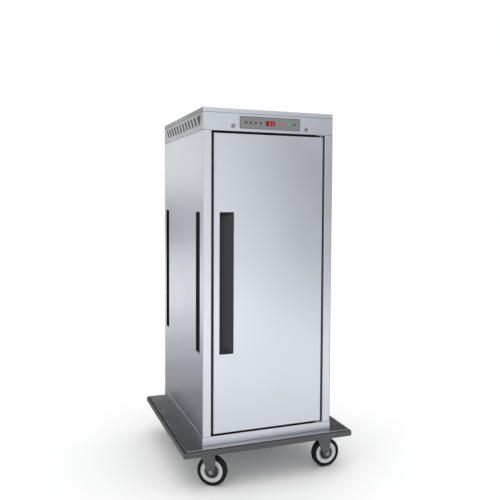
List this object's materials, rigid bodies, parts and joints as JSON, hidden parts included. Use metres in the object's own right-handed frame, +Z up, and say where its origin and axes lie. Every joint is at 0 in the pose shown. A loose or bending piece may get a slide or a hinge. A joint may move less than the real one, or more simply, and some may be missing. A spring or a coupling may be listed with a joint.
{
  "type": "heated holding cabinet",
  "caption": "Tall insulated holding cabinet on a bumpered trolley deck with swivel casters, an inset door with a recessed grip and a control panel above it.",
  "frame": {"origin": "on the floor under the middle of the deck", "axes": "+Z up, the door faces -Y, +X to the right seen from the front"},
  "size_m": [0.9, 0.94, 1.846],
  "materials": {
    "stainless_outer": "satin",
    "stainless_inner": "satin",
    "zinc_steel": "satin",
    "caster_steel": "satin",
    "aluminium_wheel": "satin",
    "heater_sheath": "satin",
    "lock_metal": "polished",
    "insulation": "matte",
    "black_plastic": "matte",
    "control_overlay": "satin",
    "display_red": "gloss",
    "lamp_lens": "gloss",
    "seal_rubber": "matte",
    "bumper_rubber": "matte",
    "tyre_rubber": "matte",
    "wheel_plastic": "satin"
  },
  "bodies": {
    "cabinet": {"base_rails": "stainless_outer", "front_crossrails": "stainless_outer", "front_stiles": "stainless_outer", "left_side_panel": "stainless_outer", "right_side_panel": "stainless_outer", "rear_panel": "stainless_outer", "side_grips": "black_plastic", "cavity_liner": "stainless_inner", "wall_insulation": "insulation", "rack_uprights": "stainless_inner", "tray_runners": "stainless_inner", "rear_duct_panel": "stainless_inner", "fan_guard_plate": "stainless_inner", "machine_tray": "zinc_steel", "fascia": "stainless_outer", "vent_panels": "stainless_outer", "top_rear_panel": "stainless_outer", "top_lid": "stainless_outer", "power_inlet": "black_plastic", "control_panel": "control_overlay", "display_window": "display_red", "indicator_lenses": "lamp_lens", "control_box": "black_plastic", "lock_housings": "lock_metal", "fan_motor": "zinc_steel", "heater_element": "heater_sheath", "temperature_probe": "heater_sheath", "deck_plate": "stainless_outer", "bumper": "bumper_rubber", "deck_chassis": "zinc_steel", "caster_plates": "zinc_steel", "caster_bolts": "zinc_steel", "hinge_brackets": "zinc_steel"},
    "door": {"door_skin": "stainless_outer", "door_liner": "stainless_inner", "door_core": "insulation", "door_grip": "black_plastic", "door_gasket": "seal_rubber", "door_bushes": "black_plastic"},
    "fan": {"fan_impeller": "aluminium_wheel"},
    "key_1": {"key_1": "black_plastic"},
    "key_2": {"key_2": "black_plastic"},
    "key_3": {"key_3": "black_plastic"},
    "key_4": {"key_4": "black_plastic"},
    "lock_left": {"lock_plug_left": "lock_metal"},
    "lock_right": {"lock_plug_right": "lock_metal"},
    "caster_front_left": {"caster_fork_front_left": "caster_steel"},
    "wheel_front_left": {"wheel_centre_front_left": "wheel_plastic", "tyre_front_left": "tyre_rubber"},
    "caster_front_right": {"caster_fork_front_right": "caster_steel"},
    "wheel_front_right": {"wheel_centre_front_right": "wheel_plastic", "tyre_front_right": "tyre_rubber"},
    "caster_rear_left": {"caster_fork_rear_left": "caster_steel"},
    "wheel_rear_left": {"wheel_centre_rear_left": "wheel_plastic", "tyre_rear_left": "tyre_rubber"},
    "brake_rear_left": {"brake_pedal_rear_left": "caster_steel"},
    "caster_rear_right": {"caster_fork_rear_right": "caster_steel"},
    "wheel_rear_right": {"wheel_centre_rear_right": "wheel_plastic", "tyre_rear_right": "tyre_rubber"},
    "brake_rear_right": {"brake_pedal_rear_right": "caster_steel"}
  },
  "joints": [
    {"name": "door_hinge", "type": "hinge", "parent": "cabinet", "child": "door", "pos_m": [0.2815, -0.405, 0.259], "axis": [0, 0, 1], "range_deg": [0, 110]},
    {"name": "fan_spin", "type": "hinge", "parent": "cabinet", "child": "fan", "pos_m": [0, 0.173, 1.681], "axis": [0, 0, 1], "continuous": true},
    {"name": "key_1_press", "type": "slide", "parent": "cabinet", "child": "key_1", "axis": [0, 1, 0], "range_m": [0, 0.0008], "stiffness_N_per_m": 600},
    {"name": "key_2_press", "type": "slide", "parent": "cabinet", "child": "key_2", "axis": [0, 1, 0], "range_m": [0, 0.0008], "stiffness_N_per_m": 600},
    {"name": "key_3_press", "type": "slide", "parent": "cabinet", "child": "key_3", "axis": [0, 1, 0], "range_m": [0, 0.0008], "stiffness_N_per_m": 600},
    {"name": "key_4_press", "type": "slide", "parent": "cabinet", "child": "key_4", "axis": [0, 1, 0], "range_m": [0, 0.0008], "stiffness_N_per_m": 600},
    {"name": "lock_left_turn", "type": "hinge", "parent": "cabinet", "child": "lock_left", "pos_m": [-0.193, -0.416, 1.7625], "axis": [0, 1, 0], "range_deg": [0, 90]},
    {"name": "lock_right_turn", "type": "hinge", "parent": "cabinet", "child": "lock_right", "pos_m": [0.195, -0.416, 1.7605], "axis": [0, 1, 0], "range_deg": [0, 90]},
    {"name": "swivel_front_left", "type": "hinge", "parent": "cabinet", "child": "caster_front_left", "pos_m": [-0.31, -0.385, 0.17], "axis": [0, 0, 1], "continuous": true},
    {"name": "roll_front_left", "type": "hinge", "parent": "caster_front_left", "child": "wheel_front_left", "pos_m": [-0.28903, -0.39862, 0.075], "axis": [0.5446, 0.8387, 0], "continuous": true},
    {"name": "swivel_front_right", "type": "hinge", "parent": "cabinet", "child": "caster_front_right", "pos_m": [0.31, -0.385, 0.17], "axis": [0, 0, 1], "continuous": true},
    {"name": "roll_front_right", "type": "hinge", "parent": "caster_front_right", "child": "wheel_front_right", "pos_m": [0.335, -0.385, 0.075], "axis": [0, 1, 0], "continuous": true},
    {"name": "swivel_rear_left", "type": "hinge", "parent": "cabinet", "child": "caster_rear_left", "pos_m": [-0.31, 0.363, 0.17], "axis": [0, 0, 1], "continuous": true},
    {"name": "roll_rear_left", "type": "hinge", "parent": "caster_rear_left", "child": "wheel_rear_left", "pos_m": [-0.29327, 0.38158, 0.075], "axis": [-0.7431, 0.6691, 0], "continuous": true},
    {"name": "pedal_rear_left", "type": "hinge", "parent": "caster_rear_left", "child": "brake_rear_left", "pos_m": [-0.28457, 0.39124, 0.158], "axis": [-0.7431, 0.6691, 0], "range_deg": [0, 12]},
    {"name": "swivel_rear_right", "type": "hinge", "parent": "cabinet", "child": "caster_rear_right", "pos_m": [0.31, 0.363, 0.17], "axis": [0, 0, 1], "continuous": true},
    {"name": "roll_rear_right", "type": "hinge", "parent": "caster_rear_right", "child": "wheel_rear_right", "pos_m": [0.29327, 0.38158, 0.075], "axis": [-0.7431, -0.6691, 0], "continuous": true},
    {"name": "pedal_rear_right", "type": "hinge", "parent": "caster_rear_right", "child": "brake_rear_right", "pos_m": [0.28457, 0.39124, 0.158], "axis": [-0.7431, -0.6691, 0], "range_deg": [0, 12]}
  ]
}
